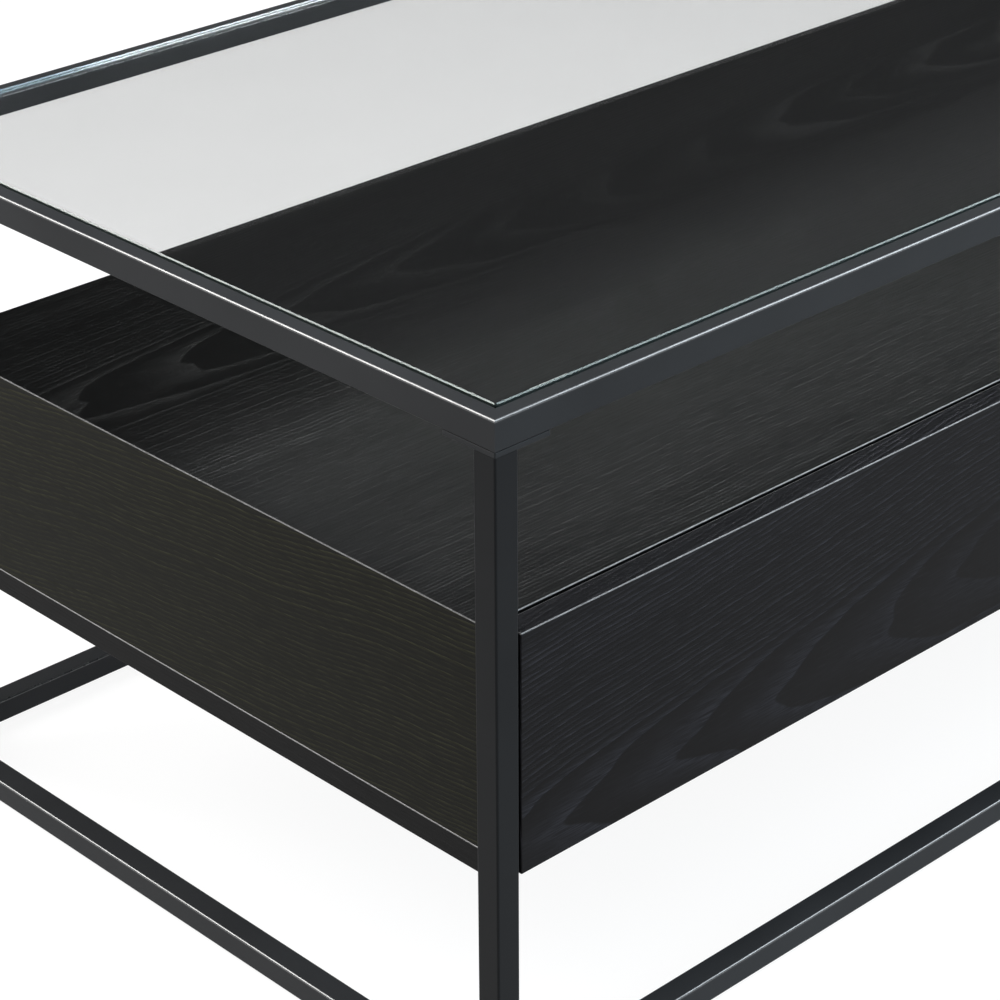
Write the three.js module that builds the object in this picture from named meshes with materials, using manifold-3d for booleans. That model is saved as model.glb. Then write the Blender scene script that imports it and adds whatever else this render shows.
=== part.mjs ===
// Glass-topped steel and wood coffee table with two push-to-open drawers.
// Millimetres, +Z up, +X along the length, the drawer side faces -Y, origin on the floor at the centre.
import * as THREE from 'three';
import { mergeVertices } from 'three/addons/utils/BufferGeometryUtils.js';
import Module from 'manifold-3d';

const wasm = await Module();
wasm.setup();

// ---- driving dimensions -------------------------------------------------------------------
const LENGTH = 1100;          // over the outer faces of the frame, X
const DEPTH = 560;            // over the outer faces of the frame, Y
const FRAME_H = 434;          // underside of the base rails to the top of the rim
const FOOT_T = 2;             // glide below the legs
// steel stock
const TUBE = 16;              // square tube of the legs and base rails
const TUBE_WALL = 1.5;
const TUBE_R = 1.5;           // outer corner radius
const TUBE_R_IN = 0.5;        // inner corner radius
const RAIL_H = 18;            // height of the top rails
const RIM_W = 10;             // rim beside the glass, measured from the outer face
const PLATE_T = 3;            // mounting plate between leg and top rails
const PLATE_REACH = 22;       // how far the plate runs past the leg on both rails
// glass
const GLASS_T = 6;
const GLASS_PROUD = 1.5;      // top of the glass above the rim
const GLASS_GAP = 0.8;        // between the glass edge and the rim
const GLASS_BEVEL = 0.8;
const GLASS_CORNER = 1.5;
const PAD_T = 1;              // clear pad under the glass
const PAD_W = 4;
const PAD_LEN = 26;
// wooden box
const BOARD = 16;
const BOX_TOP = 308;          // top face above the underside of the base rails
const BOX_H = 153;
const BOX_INSET = 9;          // end panel in from the frame's outer side face
const BOX_REAR_SPACE = 46;    // box back in from the frame's outer rear face
const BACK_T = 12;
// drawers
const FRONT_GAP = 2.8;        // from the legs and the drawer fronts to the box behind them
const LEG_GAP = 1.3;          // between a drawer front and the leg
const SEAM_GAP = 2.4;         // between the two drawer fronts
const FRONT_LIFT = 6.5;       // lower edge of a drawer front above the box underside
const SIDE_T = 12;            // drawer side and drawer back
const DRAWER_LOW = 8;         // drawer side above the box floor
const DRAWER_TOP_GAP = 12;    // drawer side below the box ceiling
const DRAWER_FLOOR_T = 6;
const FLOOR_UP = 9;           // groove above the lower edge of the drawer side
const GROOVE_DEPTH = 5;
const FIT = 0.3;              // clearance of the drawer floor in its grooves, per side
// slides, three members nested inside SLIDE_SPACE
const SLIDE_SPACE = 12.7;
const SLIDE_SET = 2;          // slide starts behind the box front
const SLIDE_END = 15;         // slide ends ahead of the drawer's rear face
const SLIDE_SHEET = 1.2;
const SLIDE_H = 45;
const SLIDE_STEP = 2.9;       // each member is lower than the one around it by twice this
const FIXED_LIP = 8.5;        // depth of the fixed member, from the box wall
const MIDDLE_SET = 2.5;       // web of the middle member off the box wall
const MIDDLE_W = 7.6;
const DRAWER_MEMBER_W = 7.4;  // depth of the drawer member, from the drawer side
const SLIDE_UP = 42;          // centre line above the lower edge of the drawer side
// push latch
const LATCH_W = 16;
const LATCH_H = 18;
const LATCH_LEN = 38;
const LATCH_R = 2;            // corner radius of the latch body
const PLUNGER_R = 3.5;
const BORE_CLEAR = 0.1;
const PLUNGER_IN = 32;        // length of the plunger inside its bore at rest
const PLUNGER_OUT = 5.4;      // length of the plunger outside it at rest
const BORE_END = 3;           // closed end of the bore
const PUSH_GAP = 2.6;         // plunger tip to drawer back at rest, more than the push-in travel
// carriers under the box
const CARRIER_T = 3;
const CARRIER_W = 26;
const TAB_H = 20;
const TAB_LEN = 12;
const TAB_LAP = 2;            // the bar runs this far over each tab
const BAR_SET = 0.5;          // bar edge in from the leg face that the tab lies on
// glides
const PLUG_UP = 14;
const PLUG_CLEAR = 0.3;
const FOOT_SET = 0.5;         // foot of the glide in from the faces of the leg

// ---- derived ------------------------------------------------------------------------------
const HX = LENGTH / 2;
const HY = DEPTH / 2;
const Z0 = FOOT_T;                                   // underside of the base rails
const RIM_Z = Z0 + FRAME_H;
const RAIL_Z = RIM_Z - RAIL_H;
const LEDGE_DROP = GLASS_T + PAD_T - GLASS_PROUD;    // rim top down to the ledge
const LEG_TOP = RAIL_Z - PLATE_T;
const BX = HX - BOX_INSET;                           // half length of the box
const BOX_FRONT = -HY + Math.max(TUBE, BOARD) + FRONT_GAP;
const BOX_BACK = HY - BOX_REAR_SPACE;
const BOX_ZT = Z0 + BOX_TOP;
const BOX_ZB = BOX_ZT - BOX_H;
const CEIL = BOX_ZT - BOARD;
const FLOOR = BOX_ZB + BOARD;
const BACK_IN = BOX_BACK - BACK_T;
const DRAWER_Z0 = FLOOR + DRAWER_LOW;
const DRAWER_Z1 = CEIL - DRAWER_TOP_GAP;
const DRAWER_Y0 = -HY + BOARD;                       // rear face of the drawer front
const LATCH_Y = BACK_IN - LATCH_LEN;                 // front face of the latch body
const DRAWER_Y1 = LATCH_Y - PLUNGER_OUT - PUSH_GAP;
const GROOVE_Z0 = DRAWER_Z0 + FLOOR_UP;
const GROOVE_Z1 = GROOVE_Z0 + DRAWER_FLOOR_T + FIT;

// ---- materials ----------------------------------------------------------------------------
const SHADES = {
  frame_black: { color: 0x2b2c2e, roughness: 0.45, metalness: 0.4 },
  top_glass: { color: 0xdfe9e4, roughness: 0.03, metalness: 0, transparent: true, opacity: 0.35 },
  pad_clear: { color: 0xd9dcdc, roughness: 0.4, metalness: 0 },
  ash_black: { color: 0x26262a, roughness: 0.5, metalness: 0 },
  drawer_wood: { color: 0x3a3835, roughness: 0.6, metalness: 0 },
  slide_zinc: { color: 0xa9acae, roughness: 0.35, metalness: 0.9 },
  black_plastic: { color: 0x1c1c1d, roughness: 0.6, metalness: 0 },
  grey_plastic: { color: 0x8d9092, roughness: 0.5, metalness: 0 },
};

const table = new THREE.Group();
table.name = 'coffee_table';

function add(name, slot, geometry) {
  const mesh = new THREE.Mesh(geometry, new THREE.MeshStandardMaterial({ name: slot, ...SHADES[slot] }));
  mesh.name = name;
  table.add(mesh);
}

// ---- shape helpers ------------------------------------------------------------------------
// Extrudes an outline. The outline's two axes and the run are, by 'along': x (y, z), y (z, x), z (x, y).
function prism(outline, holes, along, from, to, bend = null) {
  const path = (pts) => pts.map(([a, b]) => new THREE.Vector2(a, b));
  const shape = new THREE.Shape(path(outline));
  for (const hole of holes) shape.holes.push(new THREE.Path(path(hole)));
  let g = new THREE.ExtrudeGeometry(shape, { depth: 1, bevelEnabled: false, steps: 1 });
  g.deleteAttribute('normal');
  g.deleteAttribute('uv');
  g = mergeVertices(g, 1e-5);
  const p = g.attributes.position;
  for (let i = 0; i < p.count; i += 1) {
    const [a, b, far] = [p.getX(i), p.getY(i), p.getZ(i) > 0.5];
    const s = bend ? bend(a, b, far) : (far ? to : from);
    if (along === 'x') p.setXYZ(i, s, a, b);
    else if (along === 'y') p.setXYZ(i, b, s, a);
    else p.setXYZ(i, a, b, s);
  }
  g.computeVertexNormals();
  return g;
}

const rect = (a0, b0, a1, b1) => [[a0, b0], [a1, b0], [a1, b1], [a0, b1]];

function roundRect(a0, b0, a1, b1, r, steps = 3) {
  const pts = [];
  const corners = [[a1 - r, b0 + r, -90], [a1 - r, b1 - r, 0], [a0 + r, b1 - r, 90], [a0 + r, b0 + r, 180]];
  for (const [ca, cb, start] of corners) {
    for (let k = 0; k <= steps; k += 1) {
      const t = THREE.MathUtils.degToRad(start + (90 * k) / steps);
      pts.push([ca + r * Math.cos(t), cb + r * Math.sin(t)]);
    }
  }
  return pts;
}

const ring = (ca, cb, r, n = 32) => Array.from({ length: n }, (_, k) =>
  [ca + r * Math.cos((2 * Math.PI * k) / n), cb + r * Math.sin((2 * Math.PI * k) / n)]);

const box = (x0, y0, z0, x1, y1, z1) => prism(rect(x0, y0, x1, y1), [], 'z', z0, z1);

// Quarter turns about Z with exact coordinates, so mitred faces meet.
function quarter(g, turns) {
  const p = g.attributes.position;
  for (let i = 0; i < p.count; i += 1) {
    let [x, y] = [p.getX(i), p.getY(i)];
    for (let k = 0; k < turns; k += 1) [x, y] = [-y, x];
    p.setXYZ(i, x, y, p.getZ(i));
  }
  g.computeVertexNormals();
  return g;
}

function mirror(g, axis) {
  const p = g.attributes.position;
  for (let i = 0; i < p.count; i += 1) p.setComponent(i, axis, -p.getComponent(i, axis));
  const idx = g.index.array;
  for (let i = 0; i < idx.length; i += 3) [idx[i], idx[i + 1]] = [idx[i + 1], idx[i]];
  g.computeVertexNormals();
  return g;
}
const mirrorX = (g) => mirror(g, 0);
const mirrorY = (g) => mirror(g, 1);

const solid = (g) => new wasm.Manifold(new wasm.Mesh({
  numProp: 3,
  vertProperties: new Float32Array(g.attributes.position.array),
  triVerts: new Uint32Array(g.index.array),
}));

function geometryOf(manifold) {
  const mesh = manifold.getMesh();
  const g = new THREE.BufferGeometry();
  g.setAttribute('position', new THREE.BufferAttribute(new Float32Array(mesh.vertProperties), 3));
  g.setIndex(new THREE.BufferAttribute(new Uint32Array(mesh.triVerts), 1));
  g.computeVertexNormals();
  return g;
}

const union = (...parts) => geometryOf(parts.map(solid).reduce((a, b) => a.add(b)));
const cut = (body, ...tools) => geometryOf(tools.map(solid).reduce((a, b) => a.subtract(b), solid(body)));

// ---- steel frame --------------------------------------------------------------------------
const SIDES = ['front', 'right', 'rear', 'left'];
const CORNERS = [['front_left', 0, 0], ['front_right', 1, 0], ['rear_right', 1, 1], ['rear_left', 0, 1]];
const atCorner = (g, mx, my) => {
  let out = g;
  if (mx) out = mirrorX(out);
  if (my) out = mirrorY(out);
  return out;
};

// Top rail: a square tube with a rim bar on its outer half. u runs inwards from the outer face.
function railOutline() {
  const [w, h, t, r] = [TUBE, RAIL_H, RAIL_H - LEDGE_DROP, TUBE_R];
  const arc = (cu, cz, start) => [0, 1, 2, 3].map((k) => {
    const a = THREE.MathUtils.degToRad(start + 30 * k);
    return [cu + r * Math.cos(a), cz + r * Math.sin(a)];
  });
  return [
    ...arc(r, r, 180), ...arc(w - r, r, 270), [w, t], [RIM_W, t], [RIM_W, h], ...arc(r, h - r, 90),
  ];
}

SIDES.forEach((side, k) => {
  const [half, off] = k % 2 ? [HY, HX] : [HX, HY];
  const w = TUBE_WALL;
  const lift = (pts) => pts.map(([u, z]) => [u - off, z + RAIL_Z]);
  const g = prism(
    lift(railOutline()),
    [lift(roundRect(w, w, TUBE - w, RAIL_H - LEDGE_DROP - w, TUBE_R_IN))],
    'x', 0, 0, (a, b, far) => (far ? -a - off + half : a + off - half),
  );
  add(`top_rail_${side}`, 'frame_black', quarter(g, k));
});

SIDES.forEach((side, k) => {
  const [half, off] = k % 2 ? [HY - TUBE, HX] : [HX - TUBE, HY];
  const w = TUBE_WALL;
  const g = prism(
    roundRect(-off, Z0, -off + TUBE, Z0 + TUBE, TUBE_R),
    [roundRect(-off + w, Z0 + w, -off + TUBE - w, Z0 + TUBE - w, TUBE_R_IN)],
    'x', -half, half,
  );
  add(`base_rail_${side}`, 'frame_black', quarter(g, k));
});

for (const [corner, mx, my] of CORNERS) {
  const w = TUBE_WALL;
  const tube = prism(
    roundRect(-HX, -HY, -HX + TUBE, -HY + TUBE, TUBE_R),
    [roundRect(-HX + w, -HY + w, -HX + TUBE - w, -HY + TUBE - w, TUBE_R_IN)],
    'z', Z0, LEG_TOP,
  );
  add(`leg_${corner}`, 'frame_black', atCorner(tube, mx, my));

  const s = TUBE + PLATE_REACH;
  const n = TUBE + PLATE_REACH / 3;
  const plate = prism(
    [[0, 0], [s, 0], [s, TUBE], [n, TUBE], [TUBE, n], [TUBE, s], [0, s]].map(([x, y]) => [x - HX, y - HY]),
    [], 'z', LEG_TOP, RAIL_Z,
  );
  add(`leg_plate_${corner}`, 'frame_black', atCorner(plate, mx, my));

  const c = w + PLUG_CLEAR;
  const e = FOOT_SET;
  const glide = union(
    prism(roundRect(-HX + e, -HY + e, -HX + TUBE - e, -HY + TUBE - e, TUBE_R), [], 'z', 0, FOOT_T),
    box(-HX + c, -HY + c, FOOT_T / 2, -HX + TUBE - c, -HY + TUBE - c, FOOT_T + PLUG_UP),
  );
  add(`glide_${corner}`, 'black_plastic', atCorner(glide, mx, my));
}

// ---- glass top ----------------------------------------------------------------------------
{
  const gx = HX - RIM_W - GLASS_GAP;
  const gy = HY - RIM_W - GLASS_GAP;
  const b = GLASS_BEVEL;
  const shape = new THREE.Shape(roundRect(-gx + b, -gy + b, gx - b, gy - b, GLASS_CORNER)
    .map(([x, y]) => new THREE.Vector2(x, y)));
  let g = new THREE.ExtrudeGeometry(shape, {
    depth: GLASS_T - 2 * b, bevelEnabled: true, bevelThickness: b, bevelSize: b, bevelSegments: 1, steps: 1,
  });
  g.deleteAttribute('normal');
  g.deleteAttribute('uv');
  g = mergeVertices(g, 1e-4);
  g.translate(0, 0, RIM_Z - LEDGE_DROP + PAD_T + b);
  g.computeVertexNormals();
  add('glass_top', 'top_glass', g);

  const pz = RIM_Z - LEDGE_DROP;
  const py = -HY + RIM_W + (TUBE - RIM_W - PAD_W) / 2;
  const px = -HX + TUBE + PLATE_REACH;
  for (const [corner, mx, my] of CORNERS) {
    const pad = box(px, py, pz, px + PAD_LEN, py + PAD_W, pz + PAD_T);
    add(`glass_pad_${corner}`, 'pad_clear', atCorner(pad, mx, my));
  }
}

// ---- wooden box ---------------------------------------------------------------------------
add('box_top', 'ash_black', prism(
  [[BOX_ZT, -BX], [BOX_ZT, BX], [CEIL, BX - BOARD], [CEIL, -BX + BOARD]], [], 'y', BOX_FRONT, BOX_BACK));
add('box_bottom', 'ash_black', box(-BX, BOX_FRONT, BOX_ZB, BX, BOX_BACK, FLOOR));
['left', 'right'].forEach((side, k) => {
  const outline = [[FLOOR, -BX], [BOX_ZT, -BX], [CEIL, -BX + BOARD], [FLOOR, -BX + BOARD]];
  const g = prism(outline, [], 'y', BOX_FRONT, BOX_BACK);
  add(`box_end_${side}`, 'ash_black', k ? mirrorX(g) : g);
});
add('box_back', 'ash_black', box(-BX + BOARD, BACK_IN, FLOOR, BX - BOARD, BOX_BACK, CEIL));
add('box_divider', 'ash_black', box(-BOARD / 2, BOX_FRONT, FLOOR, BOARD / 2, BACK_IN, CEIL));

// ---- carriers between the legs, under the box ---------------------------------------------
['left', 'right'].forEach((side, k) => {
  const x0 = -HX + TUBE;
  const tab = (y0) => box(x0, y0, BOX_ZB - TAB_H, x0 + CARRIER_T, y0 + TAB_LEN, BOX_ZB - CARRIER_T / 2);
  const barY = HY - TUBE + TAB_LAP;
  const bar = box(x0 + BAR_SET, -barY, BOX_ZB - CARRIER_T, x0 + CARRIER_W, barY, BOX_ZB);
  const g = union(bar, tab(-HY + TUBE - TAB_LEN), tab(HY - TUBE));
  add(`carrier_${side}`, 'frame_black', k ? mirrorX(g) : g);
});

// ---- drawers, slides and push latches -----------------------------------------------------
// One channel of a slide: a web and two flanges, open towards +u or -u.
function channel(u0, u1, webAtLow, halfH, zc, toX) {
  const t = SLIDE_SHEET;
  const web = webAtLow ? [u0, u0 + t] : [u1 - t, u1];
  const lip = webAtLow ? u1 : u0;
  const edge = webAtLow ? web[0] : web[1];
  const back = webAtLow ? web[1] : web[0];
  const pts = [
    [zc - halfH, edge], [zc - halfH, lip], [zc - halfH + t, lip], [zc - halfH + t, back],
    [zc + halfH - t, back], [zc + halfH - t, lip], [zc + halfH, lip], [zc + halfH, edge],
  ].map(([z, u]) => [z, toX(u)]);
  const turned = THREE.ShapeUtils.area(pts.map(([a, b]) => new THREE.Vector2(a, b))) < 0;
  return turned ? pts.reverse() : pts;
}

['left', 'right'].forEach((side, k) => {
  const put = (name, slot, g) => add(name, slot, k ? mirrorX(g) : g);
  const bay0 = -BX + BOARD;
  const bay1 = -BOARD / 2;
  const x0 = bay0 + SLIDE_SPACE;
  const x1 = bay1 - SLIDE_SPACE;

  put(`drawer_${side}_front`, 'ash_black', box(
    -HX + TUBE + LEG_GAP, -HY, BOX_ZB + FRONT_LIFT, -SEAM_GAP / 2, -HY + BOARD, BOX_ZT));

  const sideOutline = (outer, dir) => {
    const inner = outer + dir * SIDE_T;
    const pts = [
      [DRAWER_Z0, outer], [DRAWER_Z0, inner], [GROOVE_Z0, inner], [GROOVE_Z0, inner - dir * GROOVE_DEPTH],
      [GROOVE_Z1, inner - dir * GROOVE_DEPTH], [GROOVE_Z1, inner], [DRAWER_Z1, inner], [DRAWER_Z1, outer],
    ];
    return dir > 0 ? pts : pts.reverse();
  };
  put(`drawer_${side}_side_outer`, 'drawer_wood', prism(sideOutline(x0, 1), [], 'y', DRAWER_Y0, DRAWER_Y1));
  put(`drawer_${side}_side_inner`, 'drawer_wood', prism(sideOutline(x1, -1), [], 'y', DRAWER_Y0, DRAWER_Y1));
  put(`drawer_${side}_back`, 'drawer_wood', box(
    x0 + SIDE_T, DRAWER_Y1 - SIDE_T, GROOVE_Z1, x1 - SIDE_T, DRAWER_Y1, DRAWER_Z1));
  const reach = GROOVE_DEPTH - FIT;
  put(`drawer_${side}_floor`, 'drawer_wood', box(
    x0 + SIDE_T - reach, DRAWER_Y0, GROOVE_Z0 + FIT / 2,
    x1 - SIDE_T + reach, DRAWER_Y1, GROOVE_Z0 + FIT / 2 + DRAWER_FLOOR_T));

  // u runs from the box wall (0) to the drawer side (SLIDE_SPACE)
  const zc = DRAWER_Z0 + SLIDE_UP;
  const y0 = BOX_FRONT + SLIDE_SET;
  const h = SLIDE_H / 2;
  const members = [
    ['fixed', 0, FIXED_LIP, true, h],
    ['middle', MIDDLE_SET, MIDDLE_SET + MIDDLE_W, true, h - SLIDE_STEP],
    ['drawer', SLIDE_SPACE - DRAWER_MEMBER_W, SLIDE_SPACE, false, h - 2 * SLIDE_STEP],
  ];
  for (const [wall, toX] of [['outer', (u) => bay0 + u], ['inner', (u) => bay1 - u]]) {
    for (const [member, u0, u1, webAtLow, halfH] of members) {
      put(`slide_${side}_${wall}_${member}`, 'slide_zinc', prism(
        channel(u0, u1, webAtLow, halfH, zc, toX), [], 'y', y0, DRAWER_Y1 - SLIDE_END));
    }
  }

  // push latch on the back panel, level with the middle of the drawer back
  const lx = (bay0 + bay1) / 2;
  const lz = (GROOVE_Z1 + DRAWER_Z1) / 2;
  const body = prism(
    roundRect(lz - LATCH_H / 2, lx - LATCH_W / 2, lz + LATCH_H / 2, lx + LATCH_W / 2, LATCH_R), [],
    'y', LATCH_Y, BACK_IN);
  const bore = prism(ring(lz, lx, PLUNGER_R + BORE_CLEAR), [], 'y', LATCH_Y - 1, BACK_IN - BORE_END);
  put(`latch_${side}_body`, 'grey_plastic', cut(body, bore));
  put(`latch_${side}_plunger`, 'black_plastic', prism(
    ring(lz, lx, PLUNGER_R), [], 'y', LATCH_Y - PLUNGER_OUT, LATCH_Y + PLUNGER_IN));
});

export default table;
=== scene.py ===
"""Coffee table: square-tube steel frame, inset glass top, hung ash box with two push-to-open drawers.

The pieces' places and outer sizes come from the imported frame. Wall thicknesses, arrises, screws, slots and
balls are set here. Metres, +Z up, drawers open towards -Y.
"""

import math

import bmesh
import bpy
from mathutils import Matrix, Vector
from mathutils.geometry import tessellate_polygon


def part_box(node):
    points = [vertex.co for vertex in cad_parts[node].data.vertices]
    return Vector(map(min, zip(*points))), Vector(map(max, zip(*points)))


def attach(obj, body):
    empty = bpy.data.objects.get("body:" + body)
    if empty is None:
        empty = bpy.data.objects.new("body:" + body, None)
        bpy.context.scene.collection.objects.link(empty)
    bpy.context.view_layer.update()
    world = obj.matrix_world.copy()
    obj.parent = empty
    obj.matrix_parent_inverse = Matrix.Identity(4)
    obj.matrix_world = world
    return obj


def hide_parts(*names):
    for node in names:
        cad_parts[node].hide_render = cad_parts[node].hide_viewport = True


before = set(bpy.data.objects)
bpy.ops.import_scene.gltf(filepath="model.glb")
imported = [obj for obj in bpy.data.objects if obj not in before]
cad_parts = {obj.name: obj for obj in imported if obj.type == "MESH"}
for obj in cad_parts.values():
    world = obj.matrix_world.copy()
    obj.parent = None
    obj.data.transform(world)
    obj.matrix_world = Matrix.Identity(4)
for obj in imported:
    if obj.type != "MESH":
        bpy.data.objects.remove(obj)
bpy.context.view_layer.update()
MM = 0.001
SIDES = ("front", "right", "rear", "left")
CORNERS = ("front_left", "front_right", "rear_right", "rear_left")
HALVES = ("left", "right")


# ---- places taken from the frame -----------------------------------------------------------
def low(node):
    return Vector(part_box(node)[0])


def high(node):
    return Vector(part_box(node)[1])


HX = high("top_rail_right").x
HY = high("top_rail_rear").y
RIM_Z = high("top_rail_front").z
RAIL_Z = low("top_rail_front").z
TUBE = high("leg_front_left").x - low("leg_front_left").x
LEDGE_Z = low("glass_pad_front_left").z
RIM_W = HX - high("glass_top").x - 0.8 * MM
LEG_TOP = high("leg_front_left").z
BASE_Z = low("base_rail_front").z
BOX_LOW = low("box_bottom")
BOX_HIGH = high("box_top")
BOARD = high("box_bottom").z - BOX_LOW.z
WALL = 1.5 * MM
ARRIS = 1.3 * MM
BOARD_ARRIS = 0.7 * MM
RUB_AND_HIGHLIGHT_FROM, RUB_AND_HIGHLIGHT_TO = 0.08, 0.985   # upward slope of the rounded faces that take the arris material: rubbed wear and a painted highlight line
SHARP_FROM = math.radians(32)
EDGE_SHIFT = 0.6        # an edge band takes its figure this far from the face's, in metres


# ---- camera --------------------------------------------------------------------------------
FOCAL = 111.03
YAW = math.radians(45.02)
PITCH = math.radians(27.05)
ROLL = math.radians(0.32)
SHIFT = (-0.0708, -0.0192)
EYE_FROM_CORNER = Vector((-0.9238, -0.9755, 1.0873))


def make_camera():
    data = bpy.data.cameras.new("camera")
    data.lens = FOCAL
    data.sensor_width = 36.0
    data.shift_x, data.shift_y = SHIFT
    cam = bpy.data.objects.new("camera", data)
    ahead = Vector((math.sin(YAW) * math.cos(PITCH), math.cos(YAW) * math.cos(PITCH), -math.sin(PITCH)))
    right = Vector((math.cos(YAW), -math.sin(YAW), 0.0))
    up = right.cross(ahead)
    right, up = right * math.cos(ROLL) + up * math.sin(ROLL), up * math.cos(ROLL) - right * math.sin(ROLL)
    turn = Matrix((right, up, -ahead)).transposed()
    eye = Vector((-HX, -HY, BASE_Z)) + EYE_FROM_CORNER
    cam.matrix_world = Matrix.Translation(eye) @ turn.to_4x4()
    bpy.context.scene.collection.objects.link(cam)
    bpy.context.scene.camera = cam


make_camera()


# ---- materials -----------------------------------------------------------------------------
class Graph:
    """A material's node tree with short calls for its nodes."""

    def __init__(self, name):
        self.material = bpy.data.materials.new(name)
        self.material.use_nodes = True
        self.tree = self.material.node_tree
        self.shader = self.tree.nodes["Principled BSDF"]
        self.output = self.tree.nodes["Material Output"]

    def node(self, kind, values=None, **settings):
        n = self.tree.nodes.new(kind)
        for key, value in settings.items():
            setattr(n, key, value)
        for key, value in (values or {}).items():
            self.put(n.inputs[key], value)
        return n

    def put(self, socket, value):
        if isinstance(value, bpy.types.NodeSocket):
            self.tree.links.new(value, socket)
        else:
            socket.default_value = value

    def set(self, **values):
        for key, value in values.items():
            self.put(self.shader.inputs[key.replace("_", " ")], value)

    def math(self, operation, a, b=0.0, c=0.0):
        n = self.node("ShaderNodeMath", operation=operation)
        for socket, value in zip(n.inputs, (a, b, c)):
            self.put(socket, value)
        return n.outputs[0]

    def spread(self, value, from_low, from_high, to_low, to_high, smooth=False):
        kind = "SMOOTHSTEP" if smooth else "LINEAR"
        return self.node("ShaderNodeMapRange", {
            "Value": value, "From Min": from_low, "From Max": from_high,
            "To Min": to_low, "To Max": to_high}, interpolation_type=kind).outputs[0]

    def noise(self, vector, scale, detail=3.0, rough=0.5):
        return self.node("ShaderNodeTexNoise", {
            "Vector": vector, "Scale": scale, "Detail": detail, "Roughness": rough}).outputs["Fac"]

    def stretched(self, vector, scale):
        return self.node("ShaderNodeMapping", {"Vector": vector, "Scale": scale}).outputs[0]

    def place(self):
        return self.node("ShaderNodeTexCoord").outputs["Object"]

    def ramp(self, value, *stops):
        n = self.node("ShaderNodeValToRGB", {"Fac": value})
        marks = n.color_ramp.elements
        while len(marks) < len(stops):
            marks.new(0.5)
        for mark, (at, colour) in zip(marks, stops):
            mark.position = at
            mark.color = (*colour, 1.0)
        return n.outputs["Color"]

    def bump(self, height, distance, strength=1.0):
        n = self.node("ShaderNodeBump", {"Height": height, "Distance": distance, "Strength": strength})
        self.put(self.shader.inputs["Normal"], n.outputs[0])


COAT_DARK = (0.68, 0.71, 0.76)      # the coat's darker and paler specks, as shares of its body tone
COAT_PALE = (1.25, 1.31, 1.40)
PEEL_SCALE = 1100.0
PEEL_DEPTH = 0.02 * MM
ARRIS_PEEL_DEPTH = 0.012 * MM


def powder_coat(name, worn_with_highlight=False, gloss=0.060, body=0.0235):
    """Satin black powder coat: fine orange peel and uneven gloss. The arris version is lighter and glossier:
    rubbed wear plus a painted highlight line.
    """
    g = Graph(name)
    at = g.place()
    cloud = g.noise(at, 9.0, 4.0)
    peel = g.noise(at, PEEL_SCALE, 2.0)
    grain = g.noise(at, 4200.0, 1.0)
    if worn_with_highlight:
        # Arris version: a lighter base colour and strong gloss, partly rubbed wear and partly a painted
        # highlight line.
        rub_and_highlight = g.noise(at, 140.0, 3.0)
        g.set(Base_Color=g.ramp(rub_and_highlight, (0.3, (0.022, 0.023, 0.025)), (0.7, (0.04, 0.042, 0.045))))
        g.set(Roughness=g.spread(rub_and_highlight, 0.3, 0.7, 0.32, 0.24), Specular_IOR_Level=1.0)
    else:
        speck = g.math("MULTIPLY_ADD", grain, 0.5, g.math("MULTIPLY", cloud, 0.5))
        dark = tuple(body * c for c in COAT_DARK)
        pale = tuple(body * c for c in COAT_PALE)
        g.set(Base_Color=g.ramp(speck, (0.3, dark), (0.7, pale)))
        g.set(Roughness=g.spread(speck, 0.3, 0.7, 0.36, 0.50), Specular_IOR_Level=gloss)
    depth = ARRIS_PEEL_DEPTH if worn_with_highlight else PEEL_DEPTH
    g.bump(g.math("MULTIPLY_ADD", grain, 0.5, peel), depth, 0.7)
    return g.material


# A veneer's figure: the row of cathedral arches has its centre line at axis + drift * u, in metres of v.
# The arches point towards -u, one every 'pitch'. Away from the centre line they crowd into fine rings.
# 'body' is the stain's brightness on the paler side of the centre line ('pale_side', +1 or -1), 'line' the
# brightness that the open pores add, 'heart' how far the stain darkens at the centre line, and 'gloss' the
# specular level. The tint argument paints the colour of the light on the panel into the stain: warm above
# zero, cool below. All distances are in metres.
ARCH_RATE = 150.0           # how fast the arches close, in rings for each metre to the power 1.5
CROWD_FROM = 0.038          # distance from the centre line where the rings start to crowd
CROWD_SOFT = 0.014
CROWD_RATE = 220.0          # extra rings for each metre past that
HEART_EDGE = (0.03, 0.17)   # the dark heart fades out over this stretch
FAR_EDGE = (0.21, 0.33)     # and the stain darkens again over this one
FAR_TONE = 0.60
CALM_FROM = (0.10, 0.15)    # between these two the pores are closed and the face is calm
CALM_TO = (0.23, 0.31)
CALM_TONE = 0.35
DARKEST = 0.0015
PORE_DEPTH = 0.12 * MM


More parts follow.
